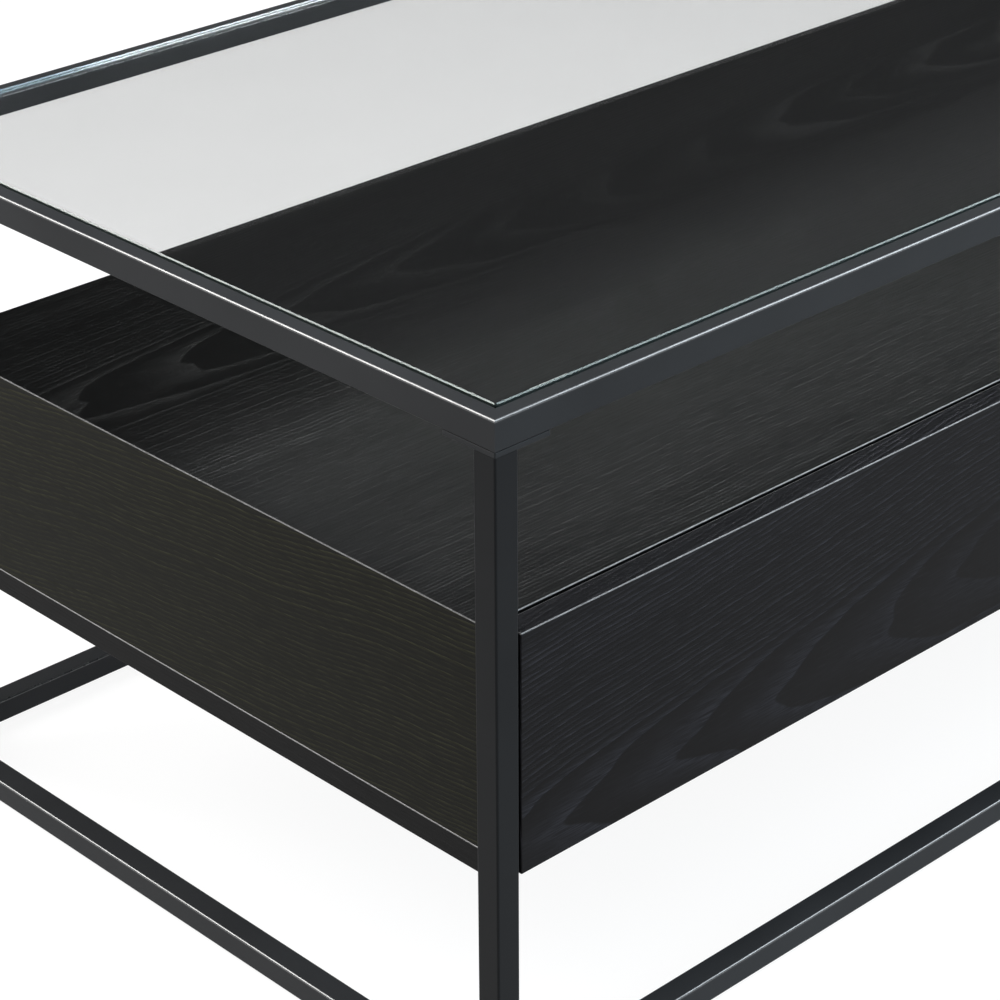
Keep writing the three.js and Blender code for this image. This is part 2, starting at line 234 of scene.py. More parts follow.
def veneer(name, seed, axis=-1.0, drift=0.0, pitch=0.085, heart=0.0, pale_side=1.0, body=0.0045, line=0.010,
           light_tint=0.0, gloss=0.07):
    """Black-stained open-pore ash. The UV map runs in metres, u along the grain."""
    g = Graph(name)
    uv = g.node("ShaderNodeUVMap", uv_map="grain").outputs[0]
    axes = g.node("ShaderNodeSeparateXYZ", {"Vector": uv})
    u, v = axes.outputs["X"], axes.outputs["Y"]

    def field(along, across, detail, shift=0.0):
        at = g.node("ShaderNodeCombineXYZ", {
            "X": g.math("MULTIPLY", u, along), "Y": g.math("MULTIPLY", v, across), "Z": seed + shift})
        return g.noise(at.outputs[0], 1.0, detail)

    def swing(value, amount):
        return g.math("MULTIPLY", g.math("SUBTRACT", value, 0.5), amount)

    sway = swing(field(4.5, 4.0, 1.0), 0.018)
    ripple = swing(field(24.0, 16.0, 1.0, 3.0), 0.0030)
    centre = g.math("MULTIPLY_ADD", u, drift, axis)
    off = g.math("ADD", g.math("SUBTRACT", v, centre), g.math("ADD", sway, ripple))
    w = g.math("SQRT", g.math("MULTIPLY_ADD", off, off, 0.00003))
    arch = g.math("MULTIPLY", g.math("POWER", w, 1.5), ARCH_RATE)
    past = g.math("SMOOTH_MAX", g.math("SUBTRACT", w, CROWD_FROM), 0.0, CROWD_SOFT)
    crowd = g.math("MULTIPLY", past, CROWD_RATE)
    jitter = swing(field(9.0, 0.0, 0.0, 7.0), 0.9)
    uneven = swing(field(3.0, 42.0, 1.0, 9.0), 0.9)
    along = g.math("ADD", g.math("DIVIDE", u, pitch), jitter)
    phase = g.math("SUBTRACT", along, g.math("ADD", arch, crowd))
    phase = g.math("ADD", phase, uneven)
    ring = g.math("FRACT", phase)
    chance = g.node("ShaderNodeTexWhiteNoise", {"W": g.math("FLOOR", phase)}, noise_dimensions="1D")
    year = chance.outputs["Value"]
    rise = g.math("POWER", ring, 2.2)
    band = g.math("MULTIPLY", rise, g.spread(ring, 0.955, 1.0, 1.0, 0.0, smooth=True))
    band = g.math("MULTIPLY", band, g.math("MULTIPLY_ADD", year, 0.8, 0.45))
    pores = g.spread(field(55.0, 1300.0, 1.0, 11.0), 0.38, 0.64, 0.40, 1.30)
    fleck = g.spread(field(60.0, 900.0, 1.0, 13.0), 0.60, 0.74, 0.0, 1.0)
    fibre = field(10.0, 480.0, 3.0, 15.0)
    cloud = field(3.0, 7.0, 2.0, 17.0)
    ground = g.math("ADD", swing(fibre, 1.1), g.math("ADD", swing(cloud, 0.7), 1.0))
    out = g.math("MULTIPLY", off, pale_side)
    paler = g.spread(out, *HEART_EDGE, 1.0 - heart, 1.0, smooth=True)
    paler = g.math("MULTIPLY", paler, g.spread(out, *FAR_EDGE, 1.0, FAR_TONE, smooth=True))
    tone = g.math("MULTIPLY", g.math("MULTIPLY", ground, paler), body)
    calm = g.math("MAXIMUM", g.spread(out, *CALM_FROM, 1.0, CALM_TONE, smooth=True),
                  g.spread(out, *CALM_TO, CALM_TONE, 1.0, smooth=True))
    lit = g.math("MULTIPLY", g.math("MULTIPLY_ADD", paler, 0.8, 0.2), calm)
    lit = g.math("MULTIPLY", g.math("MULTIPLY", band, pores), lit)
    tone = g.math("MULTIPLY_ADD", lit, line, tone)
    tone = g.math("MAXIMUM", g.math("MULTIPLY_ADD", fleck, 0.15 * line, tone), DARKEST)
    # The tint warms the stain above zero and cools it below: a painted colour of the light on that panel.
    stain = g.node("ShaderNodeCombineXYZ", {
        "X": g.math("MULTIPLY", tone, 1.0 + light_tint), "Y": g.math("MULTIPLY", tone, 1.0 + light_tint),
        "Z": g.math("MULTIPLY", tone, 1.0 - 2.5 * light_tint)})
    g.set(Base_Color=stain.outputs[0])
    g.set(Roughness=g.spread(band, 0.0, 1.0, 0.44, 0.62), Specular_IOR_Level=gloss)
    open_pores = g.math("MULTIPLY", band, g.math("ADD", pores, fleck))
    height = g.math("SUBTRACT", g.math("MULTIPLY", fibre, 0.4), open_pores)
    g.bump(height, PORE_DEPTH, 0.45)
    return g.material


def band_arris():
    """The eased arris of a veneered board: stain rubbed a little, and a lighter painted highlight line along
    the upper arrises.
    """
    g = Graph("ash_arris")
    rub_and_highlight = g.noise(g.place(), 220.0, 3.0)
    # Much lighter than the veneer: partly rubbed stain, partly a painted highlight line.
    g.set(Base_Color=g.ramp(rub_and_highlight, (0.3, (0.04, 0.04, 0.041)), (0.7, (0.085, 0.085, 0.086))))
    g.set(Roughness=g.spread(rub_and_highlight, 0.3, 0.7, 0.40, 0.30), Specular_IOR_Level=0.8)
    g.bump(rub_and_highlight, 0.00003, 0.4)
    return g.material


def clear_glass():
    """Float glass with a faint film on it. Lamps pass through to what stands below."""
    g = Graph("glass_clear")
    at = g.place()
    film = g.noise(at, 14.0, 5.0)
    g.set(Base_Color=g.ramp(film, (0.3, (0.866, 0.872, 0.871)), (0.7, (0.880, 0.886, 0.885))))
    g.set(Transmission_Weight=1.0, IOR=1.5, Roughness=0.0)
    lamp = g.node("ShaderNodeLightPath").outputs["Is Shadow Ray"]
    through = g.node("ShaderNodeBsdfTransparent", {"Color": (0.86, 0.88, 0.87, 1.0)})
    mix = g.node("ShaderNodeMixShader", {"Fac": lamp})
    g.put(mix.inputs[1], g.shader.outputs[0])
    g.put(mix.inputs[2], through.outputs[0])
    g.put(g.output.inputs["Surface"], mix.outputs[0])
    return g.material


def ground_edge():
    """The polished edge of the glass, greener than its faces."""
    g = Graph("glass_edge")
    grind = g.noise(g.stretched(g.place(), (1.0, 1.0, 6.0)), 400.0, 2.0)
    g.set(Base_Color=(0.16, 0.21, 0.20, 1.0), Transmission_Weight=0.85, IOR=1.5)
    g.set(Specular_Tint=(0.55, 0.60, 0.58, 1.0), Roughness=g.spread(grind, 0.3, 0.7, 0.055, 0.070))
    return g.material


def foil():
    """Dark foil on the drawer boards: fine printed linen-like grain."""
    g = Graph("drawer_foil")
    at = g.place()
    fine = g.noise(g.stretched(at, (1.0, 0.12, 1.0)), 700.0, 3.0)
    cloud = g.noise(at, 12.0, 2.0)
    g.set(Base_Color=g.ramp(g.math("MULTIPLY_ADD", fine, 0.7, g.math("MULTIPLY", cloud, 0.3)),
                            (0.35, (0.021, 0.020, 0.0195)), (0.65, (0.038, 0.0365, 0.035))))
    g.set(Roughness=g.spread(fine, 0.3, 0.7, 0.45, 0.58))
    g.bump(fine, 0.00004, 0.5)
    return g.material


def zinc(name, tint, rough):
    """Zinc-plated sheet: rolled streaks and a cloudy passivated tone."""
    g = Graph(name)
    at = g.place()
    roll = g.noise(g.stretched(at, (1.0, 0.03, 1.0)), 2400.0, 2.0)
    cloud = g.noise(at, 45.0, 4.0)
    g.set(Base_Color=g.ramp(cloud, (0.3, tuple(0.82 * c for c in tint)), (0.7, tint)), Metallic=1.0)
    g.set(Roughness=g.spread(g.math("MULTIPLY_ADD", roll, 0.5, g.math("MULTIPLY", cloud, 0.5)), 0.3, 0.7,
                             rough - 0.06, rough + 0.1))
    g.bump(roll, 0.00001, 0.5)
    return g.material


def moulded(name, dark, pale, rough=0.5):
    """Moulded plastic with a spark-eroded texture."""
    g = Graph(name)
    at = g.place()
    skin = g.noise(at, 2600.0, 2.0)
    cloud = g.noise(at, 60.0, 2.0)
    g.set(Base_Color=g.ramp(cloud, (0.3, dark), (0.7, pale)))
    g.set(Roughness=g.spread(skin, 0.3, 0.7, rough - 0.08, rough + 0.08))
    g.bump(skin, 0.00004, 0.6)
    return g.material


def silicone():
    g = Graph("pad_silicone")
    cloud = g.noise(g.place(), 300.0, 2.0)
    g.set(Base_Color=(0.8, 0.83, 0.82, 1.0), Transmission_Weight=0.7, IOR=1.41)
    g.set(Roughness=g.spread(cloud, 0.3, 0.7, 0.2, 0.4))
    g.bump(cloud, 0.00005, 0.4)
    return g.material


COAT = powder_coat("frame_coat")
# The legs get a darker, less glossy copy of the frame coat: painted shade for the dimmer light they get.
COAT_LEG_SHADED = powder_coat("leg_coat_shaded", gloss=0.050, body=0.0125)
# Lighter, glossier coat for the upper arrises: rubbed wear plus a painted highlight line.
COAT_ARRIS = powder_coat("frame_coat_arris", worn_with_highlight=True)
GLASS = clear_glass()
GLASS_EDGE = ground_edge()
FOIL = foil()
ZINC = zinc("slide_zinc", (0.62, 0.63, 0.64), 0.3)
SCREW_ZINC = zinc("screw_zinc", (0.52, 0.52, 0.53), 0.34)
SCREW_BLACK = zinc("screw_black", (0.035, 0.035, 0.036), 0.36)
STEEL = zinc("ball_steel", (0.72, 0.72, 0.73), 0.14)
BLACK_PLASTIC = moulded("plastic_black", (0.010, 0.010, 0.010), (0.018, 0.018, 0.018))
GREY_PLASTIC = moulded("plastic_grey", (0.22, 0.225, 0.23), (0.3, 0.305, 0.31), 0.42)
SILICONE = silicone()
VENEER_ARRIS = band_arris()


# ---- mesh helpers --------------------------------------------------------------------------
def rect(a0, b0, a1, b1):
    return [(a0, b0), (a1, b0), (a1, b1), (a0, b1)]


def circle(radius, sides):
    turns = [math.tau * k / sides for k in range(sides)]
    return [(radius * math.cos(turn), radius * math.sin(turn)) for turn in turns]


def rounded(points, radii, steps=6):
    """An outline with its corners rounded. radii is one radius, or one for each corner."""
    out = []
    count = len(points)
    if not hasattr(radii, "__len__"):
        radii = [radii] * count
    for i, radius in enumerate(radii):
        here = Vector(points[i])
        if radius <= 0:
            out.append(tuple(here))
            continue
        back = (Vector(points[i - 1]) - here).normalized()
        on = (Vector(points[(i + 1) % count]) - here).normalized()
        half = 0.5 * back.angle(on)
        reach = radius / math.tan(half)
        centre = here + (back + on).normalized() * (radius / math.sin(half))
        start = here + back * reach - centre
        stop = here + on * reach - centre
        total = start.angle_signed(stop)
        for k in range(steps + 1):
            turn = Matrix.Rotation(-total * k / steps, 2)
            out.append(tuple(centre + turn @ start))
    return out


def extrude(outline, place, holes=(), arris=None, ends=False):
    """A prism in a bmesh. place(a, b, far) gives a corner, arris(i) how much outline edge i is rounded."""
    bm = bmesh.new()
    weight = bm.edges.layers.float.new("bevel_weight_edge")
    loops = [outline, *holes]
    near = [[bm.verts.new(place(a, b, 0)) for a, b in loop] for loop in loops]
    far = [[bm.verts.new(place(a, b, 1)) for a, b in loop] for loop in loops]
    for n_loop, f_loop in zip(near, far):
        for i in range(len(n_loop)):
            j = (i + 1) % len(n_loop)
            bm.faces.new((n_loop[i], n_loop[j], f_loop[j], f_loop[i]))
    for side in (near, far):
        if holes:
            flat = [v for loop in side for v in loop]
            tris = tessellate_polygon([[Vector((a, b, 0.0)) for a, b in loop] for loop in loops])
            for t in tris:
                bm.faces.new([flat[k] for k in t])
        else:
            bm.faces.new(side[0])
    bmesh.ops.recalc_face_normals(bm, faces=bm.faces)
    if arris:
        for i, (n, f) in enumerate(zip(near[0], far[0])):
            bm.edges.get((n, f))[weight] = arris(i)
    if ends:
        for side in (near, far):
            ring = side[0]
            for i, v in enumerate(ring):
                bm.edges.get((v, ring[(i + 1) % len(ring)]))[weight] = ends
    return bm


def block(lo, hi, arris=1.0):
    """A box from corner lo to corner hi with every edge weighted for rounding."""
    def corner(a, b, far):
        return (a, b, hi[2] if far else lo[2])

    return extrude(rect(lo[0], lo[1], hi[0], hi[1]), corner, arris=lambda i: arris, ends=arris)


def lay_grain(mesh, along, face_axis):
    """The UV map 'grain', in metres. along is the grain's axis, face_axis the figured faces' normal."""
    layer = mesh.uv_layers.new(name="grain")
    for face in mesh.polygons:
        n = [abs(c) for c in face.normal]
        normal = n.index(max(n))
        plane = [k for k in range(3) if k != normal]
        u_axis = along if along in plane else [k for k in plane if k != face_axis][0]
        v_axis = [k for k in plane if k != u_axis][0]
        for loop in face.loop_indices:
            co = mesh.vertices[mesh.loops[loop].vertex_index].co
            layer.data[loop].uv = (co[u_axis], co[v_axis] + (0.0 if normal == face_axis else EDGE_SHIFT))


def finish_mesh(name, bm, width=0.0, segments=3, grain=None, materials=(), rubbed_and_highlit=True):
    """Makes a bmesh an object, rounds its weighted edges, and gives upper arrises the second material."""
    mesh = bpy.data.meshes.new(name)
    bm.to_mesh(mesh)
    bm.free()
    mesh.update()
    if grain is not None:
        lay_grain(mesh, *grain)
    for m in materials:
        mesh.materials.append(m)
    obj = bpy.data.objects.new(name, mesh)
    bpy.context.scene.collection.objects.link(obj)
    for p in mesh.polygons:
        p.use_smooth = True
    mesh.set_sharp_from_angle(angle=SHARP_FROM)
    if width:
        bevel = obj.modifiers.new("arris", "BEVEL")
        bevel.width = width
        bevel.segments = segments
        bevel.limit_method = "WEIGHT"
        bevel.use_clamp_overlap = False
    weighted = obj.modifiers.new("flat faces stay flat", "WEIGHTED_NORMAL")
    weighted.weight = 100
    weighted.keep_sharp = True
    shown = bpy.data.meshes.new_from_object(obj.evaluated_get(bpy.context.evaluated_depsgraph_get()))
    obj.modifiers.clear()
    obj.data = shown
    bpy.data.meshes.remove(mesh)
    shown.name = name
    # The upper arrises take the arris material, whose lighter, glossier tone is rubbed wear plus a painted
    # highlight line.
    if rubbed_and_highlit and len(materials) > 1:
        for p in shown.polygons:
            if RUB_AND_HIGHLIGHT_FROM < p.normal.z < RUB_AND_HIGHLIGHT_TO:
                p.material_index = 1
    return obj


def seat(obj, body, slot, *nodes):
    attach(obj, body)
    if nodes:
        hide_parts(*nodes)
    return obj


def paint(node, material):
    """Gives a CAD node its material."""
    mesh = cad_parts[node].data
    mesh.materials.clear()
    mesh.materials.append(material)


def quarter(point, turns):
    """Quarter turns about Z with exact coordinates."""
    x, y, z = point
    for _ in range(turns):
        x, y = -y, x
    return (x, y, z)


# ---- steel frame ---------------------------------------------------------------------------
def steel(name, bm, node, coat):
    """A frame tube: its outline is already rounded, so it needs no bevel."""
    obj = finish_mesh(name, bm, materials=(coat, COAT_ARRIS))
    return seat(obj, "table", "frame_black", node)


def tube_outline():
    return rounded(rect(0, 0, TUBE, TUBE), ARRIS)


def tube_hole():
    return rounded(rect(WALL, WALL, TUBE - WALL, TUBE - WALL), 0.4 * ARRIS, 3)


def top_rail(side, turns):
    """Mitred rail: a tube with a rim bar on its outer half. u runs in from the outer face."""
    half, off = (HY, HX) if turns % 2 else (HX, HY)
    high_z, step = RIM_Z - RAIL_Z, LEDGE_Z - RAIL_Z
    outline = [(0, 0), (TUBE, 0), (TUBE, step), (RIM_W, step), (RIM_W, high_z), (0, high_z)]
    outline = rounded(outline, [ARRIS * k for k in (0.8, 1.0, 0.5, 0.4, 0.45, 1.15)])

    def corner(u, z, far):
        along = (half - u) * (1 if far else -1)
        return quarter((along, u - off, z + RAIL_Z), turns)

    hole = rounded(rect(WALL, WALL, TUBE - WALL, step - WALL), 0.4 * ARRIS, 3)
    steel(f"rail_top_{side}", extrude(outline, corner, [hole]), f"top_rail_{side}", COAT)


def base_rail(side, turns):
    half, off = (HY - TUBE, HX) if turns % 2 else (HX - TUBE, HY)

    def corner(u, z, far):
        return quarter((half if far else -half, u - off, z + BASE_Z), turns)

    steel(f"rail_base_{side}", extrude(tube_outline(), corner, [tube_hole()]), f"base_rail_{side}", COAT)


def leg(corner_name, sx, sy):
    def corner(a, b, far):
        return (sx * (HX - a), sy * (HY - b), LEG_TOP if far else BASE_Z)

    bm = extrude(tube_outline(), corner, [tube_hole()])
    steel(f"leg_tube_{corner_name}", bm, f"leg_{corner_name}", COAT_LEG_SHADED)


def leg_plate(corner_name, sx, sy):
    reach = high(f"leg_plate_{corner_name}").x - low(f"leg_plate_{corner_name}").x
    inner = TUBE + (reach - TUBE) / 3
    outline = [(0, 0), (reach, 0), (reach, TUBE), (inner, TUBE), (TUBE, inner), (TUBE, reach), (0, reach)]
    outline = rounded(outline, 0.8 * MM, 4)

    def corner(a, b, far):
        return (sx * (HX - a), sy * (HY - b), RAIL_Z if far else LEG_TOP)

    bm = extrude(outline, corner, ends=1.0)
    obj = finish_mesh(f"plate_{corner_name}", bm, 0.25 * MM, 2, materials=(COAT, COAT_ARRIS), rubbed_and_highlit=False)
    seat(obj, "table", "frame_black", f"leg_plate_{corner_name}")


def make_frame():
    for turns, side in enumerate(SIDES):
        top_rail(side, turns)
        base_rail(side, turns)
    for name, sx, sy in zip(CORNERS, (-1, 1, 1, -1), (-1, -1, 1, 1)):
        leg(name, sx, sy)
        leg_plate(name, sx, sy)
        paint(f"glide_{name}", BLACK_PLASTIC)
        paint(f"glass_pad_{name}", SILICONE)
        ease(f"glide_{name}", 0.4 * MM)
        ease(f"glass_pad_{name}", 0.25 * MM)
    for side in HALVES:
        paint(f"carrier_{side}", COAT)
        ease(f"carrier_{side}", 0.5 * MM)


# ---- glass top -----------------------------------------------------------------------------
def make_glass():
    lo, hi = low("glass_top"), high("glass_top")
    outline = rounded(rect(lo.x, lo.y, hi.x, hi.y), 1.5 * MM)

    def corner(a, b, far):
        return (a, b, hi.z if far else lo.z)

    obj = finish_mesh("glass_pane", extrude(outline, corner, ends=1.0), 0.7 * MM, 1,
                      materials=(GLASS, GLASS_EDGE), rubbed_and_highlit=False)
    for face in obj.data.polygons:
        if abs(face.normal.z) < 0.99:
            face.material_index = 1
    seat(obj, "table", "top_glass", "glass_top")


# ---- wooden box ----------------------------------------------------------------------------
# END_FIGURE's warm tint and FRONT_FIGURE's cool tint are painted colour of the light on those panels.
TOP_FIGURE = dict(seed=1.0, axis=0.104, drift=0.03, pitch=0.09, heart=0.92, pale_side=-1.0,
                  body=0.0070, line=0.0260, gloss=0.045)
END_FIGURE = dict(axis=0.46, drift=-0.09, body=0.0022, line=0.0185, light_tint=0.15)
FRONT_FIGURE = dict(seed=11.0, axis=0.217, drift=0.083, pitch=0.083, heart=0.45,
                    body=0.0038, line=0.0250, light_tint=-0.05)


def board(name, node, along, face_axis, figure, body="table", bm=None):
    bm = bm or block(low(node), high(node))
    obj = finish_mesh(name, bm, BOARD_ARRIS, 3, grain=(along, face_axis),
                      materials=(veneer(f"ash_{name}", **figure), VENEER_ARRIS))
    return seat(obj, body, "ash_black", node)


def mitred(node, outline):
    """A box panel whose mitre is cut along Y. outline holds (x, z)."""
    y0, y1 = low(node).y, high(node).y

    def corner(x, z, far):
        return (x, y1 if far else y0, z)

    return extrude(outline, corner, arris=lambda i: 0.8, ends=1.0)


def make_box():
    hx, zt = BOX_HIGH.x, BOX_HIGH.z
    ceiling = zt - BOARD
    floor = BOX_LOW.z + BOARD
    tx = hx - BOARD
    board("panel_top", "box_top", 0, 2, TOP_FIGURE,
          bm=mitred("box_top", [(-hx, zt), (-tx, ceiling), (tx, ceiling), (hx, zt)]))
    for side, s in (("left", -1), ("right", 1)):
        outline = [(s * hx, floor), (s * tx, floor), (s * tx, ceiling), (s * hx, zt)]
        board(f"panel_end_{side}", f"box_end_{side}", 1, 0,
              dict(seed=4.0 + s, **END_FIGURE),
              bm=mitred(f"box_end_{side}", outline))
    board("panel_bottom", "box_bottom", 0, 2, dict(seed=7.0, axis=0.02, heart=0.2))
    board("panel_back", "box_back", 0, 1, dict(seed=8.0, axis=0.235, drift=0.02, heart=0.2))
    board("panel_divider", "box_divider", 1, 0, dict(seed=9.0, axis=0.6))


# ---- repeated small pieces -----------------------------------------------------------------
HEAD_SIDES = 28
DISC_SIDES = 32
BALL_SIDES = 14
BALL_RINGS = 8
CARRIER_SCREWS_Y = (-0.19, -0.02, 0.16)
BACK_SCREWS_X = (-0.45, -0.27, -0.09, 0.09, 0.27, 0.45)
DIVIDER_SCREWS_Y = (-0.2, -0.02, 0.15)
PLATE_SCREW_REACH = 13 * MM     # past the leg, on each arm of its plate


def screw_head(name, radius, height, recess):
    """A pan head with a cross recess, seated at the origin and looking along +Z."""
    bm = bmesh.new()
    profile = ((1.0, 0.0), (1.0, 0.22), (0.94, 0.52), (0.8, 0.80), (0.62, 0.95), (0.46, 1.0))
    rings = []
    for r, z in profile:
        ring = circle(radius * r, HEAD_SIDES)
        rings.append([bm.verts.new((x, y, height * z)) for x, y in ring])
    for lower, upper in zip(rings, rings[1:]):
        for k in range(HEAD_SIDES):
            j = (k + 1) % HEAD_SIDES
            bm.faces.new((lower[k], lower[j], upper[j], upper[k]))
    bm.faces.new(list(reversed(rings[0])))
    arm, half = 0.40 * radius, 0.10 * radius
    cross = []
    for turn in range(4):
        for x, y in ((arm, -half), (arm, half), (half, half)):
            cross.append(quarter((x, y, 0.0), turn)[:2])
    top = [tuple(v.co.xy) for v in rings[-1]]
    mouth = [bm.verts.new((x, y, height)) for x, y in cross]
    floor = [bm.verts.new((0.6 * x, 0.6 * y, height - recess)) for x, y in cross]
    flat = rings[-1] + mouth
    for tri in tessellate_polygon([[Vector((x, y, 0.0)) for x, y in loop] for loop in (top, cross)]):
        bm.faces.new([flat[k] for k in tri])
    for k in range(len(cross)):
        j = (k + 1) % len(cross)
        bm.faces.new((mouth[k], mouth[j], floor[j], floor[k]))
    bm.faces.new(floor)
    bmesh.ops.recalc_face_normals(bm, faces=bm.faces)
    return template(name, bm)


def cam_disc(name, radius, height):
    """A cam fitting: a flat disc with one wide driver slot."""
    outline = circle(radius, DISC_SIDES)
    slot = rounded(rect(-0.62 * radius, -0.13 * radius, 0.62 * radius, 0.13 * radius), 0.06 * radius, 2)
    bm = extrude(outline, lambda a, b, far: (a, b, height if far else 0.0), [slot])
    return template(name, bm)


def bearing_ball(name, radius):
    """A ball of rings between two poles, with its faces in the same order on every run."""
    bm = bmesh.new()
    rings = []
    for k in range(1, BALL_RINGS + 1):
        tilt = math.pi * k / (BALL_RINGS + 1)
        ring = circle(radius * math.sin(tilt), BALL_SIDES)
        rings.append([bm.verts.new((y, x, radius * math.cos(tilt))) for x, y in ring])
    top = bm.verts.new((0.0, 0.0, radius))
    bottom = bm.verts.new((0.0, 0.0, -radius))
    for k in range(BALL_SIDES):
        j = (k + 1) % BALL_SIDES
        bm.faces.new((top, rings[0][k], rings[0][j]))
        for upper, lower in zip(rings, rings[1:]):
            bm.faces.new((upper[k], lower[k], lower[j], upper[j]))
        bm.faces.new((bottom, rings[-1][j], rings[-1][k]))
    bmesh.ops.recalc_face_normals(bm, faces=bm.faces)
    return template(name, bm)


def template(name, bm):
    mesh = bpy.data.meshes.new(name)
    bm.to_mesh(mesh)
    bm.free()
    for p in mesh.polygons:
        p.use_smooth = True
    mesh.set_sharp_from_angle(angle=math.radians(35))
    obj = bpy.data.objects.new(name, mesh)
    bpy.context.scene.collection.objects.link(obj)
    return obj


def scatter_tree():
    """Geometry nodes: a copy of Piece on each point, its +Z along the point's aim, turned by chance."""
    tree = bpy.data.node_groups.new("set_small_pieces", "GeometryNodeTree")
    face = tree.interface
    face.new_socket("Geometry", in_out="INPUT", socket_type="NodeSocketGeometry")
    face.new_socket("Piece", in_out="INPUT", socket_type="NodeSocketObject")
    face.new_socket("Material", in_out="INPUT", socket_type="NodeSocketMaterial")
    face.new_socket("Turn seed", in_out="INPUT", socket_type="NodeSocketInt")
    face.new_socket("Geometry", in_out="OUTPUT", socket_type="NodeSocketGeometry")
    new, link = tree.nodes.new, tree.links.new
    enter, leave = new("NodeGroupInput"), new("NodeGroupOutput")
    points = new("GeometryNodeMeshToPoints")
    link(enter.outputs["Geometry"], points.inputs["Mesh"])
    piece = new("GeometryNodeObjectInfo")
    link(enter.outputs["Piece"], piece.inputs["Object"])
    aim = new("GeometryNodeInputNamedAttribute")
    aim.data_type = "FLOAT_VECTOR"
    aim.inputs["Name"].default_value = "aim"
    turned = new("FunctionNodeAlignRotationToVector")
    turned.axis = "Z"
    link(aim.outputs["Attribute"], turned.inputs["Vector"])
    chance = new("FunctionNodeRandomValue")
    chance.data_type = "FLOAT"
    chance.inputs["Max"].default_value = math.pi
    link(enter.outputs["Turn seed"], chance.inputs["Seed"])
    spin = new("ShaderNodeCombineXYZ")
    link(chance.outputs["Value"], spin.inputs["Z"])
    to_rotation = new("FunctionNodeEulerToRotation")
    link(spin.outputs[0], to_rotation.inputs[0])
    both = new("FunctionNodeRotateRotation")
    both.rotation_space = "LOCAL"
    link(turned.outputs["Rotation"], both.inputs["Rotation"])
    link(to_rotation.outputs[0], both.inputs["Rotate By"])
    copies = new("GeometryNodeInstanceOnPoints")
    link(points.outputs["Points"], copies.inputs["Points"])
    link(piece.outputs["Geometry"], copies.inputs["Instance"])
    link(both.outputs["Rotation"], copies.inputs["Rotation"])
    real = new("GeometryNodeRealizeInstances")
    link(copies.outputs["Instances"], real.inputs["Geometry"])
    stained = new("GeometryNodeSetMaterial")
    link(real.outputs["Geometry"], stained.inputs["Geometry"])
    link(enter.outputs["Material"], stained.inputs["Material"])
    link(stained.outputs["Geometry"], leave.inputs["Geometry"])
    return tree


SCATTER = scatter_tree()


def scatter(name, body, slot, piece, material, seed, spots):
    """One mesh of copies of piece. spots holds (place, aim)."""
    mesh = bpy.data.meshes.new(name)
    mesh.from_pydata([tuple(place) for place, aim in spots], [], [])
    layer = mesh.attributes.new("aim", "FLOAT_VECTOR", "POINT")
    for value, (place, aim) in zip(layer.data, spots):
        value.vector = aim
    obj = bpy.data.objects.new(name, mesh)
    bpy.context.scene.collection.objects.link(obj)
    nodes = obj.modifiers.new("copies", "NODES")
    nodes.node_group = SCATTER
    inputs = [item for item in SCATTER.interface.items_tree if item.in_out == "INPUT"]
    sockets = {item.name: item.identifier for item in inputs}
    nodes[sockets["Piece"]] = piece
    nodes[sockets["Material"]] = material
    nodes[sockets["Turn seed"]] = seed
    shown = bpy.data.meshes.new_from_object(obj.evaluated_get(bpy.context.evaluated_depsgraph_get()))
    obj.modifiers.clear()
    obj.data = shown
    shown.name = name
    bpy.data.meshes.remove(mesh)
    return seat(obj, body, slot)


